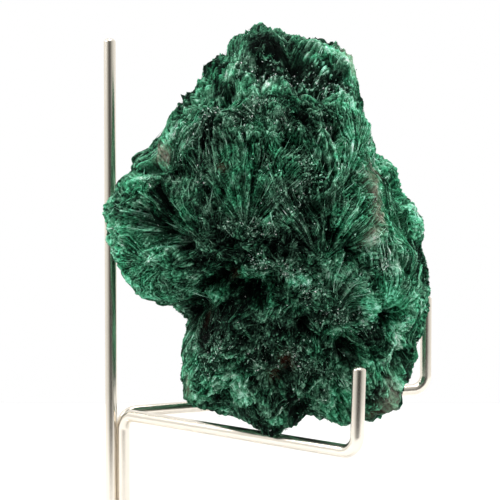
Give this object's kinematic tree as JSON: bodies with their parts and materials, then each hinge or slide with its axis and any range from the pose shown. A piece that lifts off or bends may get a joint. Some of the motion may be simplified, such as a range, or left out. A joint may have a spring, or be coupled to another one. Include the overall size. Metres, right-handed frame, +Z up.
{
  "type": "malachite specimen on wire stand",
  "caption": "Rough green stone of fibrous fans and dark cavities, held by its stand of bent wires: two hooked arms, a tall back rod and splayed feet.",
  "frame": {"origin": "on the table, under the middle of the whole object's box", "axes": "+Z up, +X to the right and +Y away from a viewer who faces the front of the stone"},
  "size_m": [0.1184, 0.0696, 0.1219],
  "materials": {
    "malachite": "deep green silky fibres in fans, with near-black hollows and small pale sparkles",
    "wire": "warm silvery drawn wire, satin to bright",
    "collar": "satin silver"
  },
  "bodies": {
    "root": {"malachite": "malachite", "back_rod": "wire", "near_arm": "wire", "far_arm": "wire", "stem_collar": "collar"}
  },
  "joints": []
}
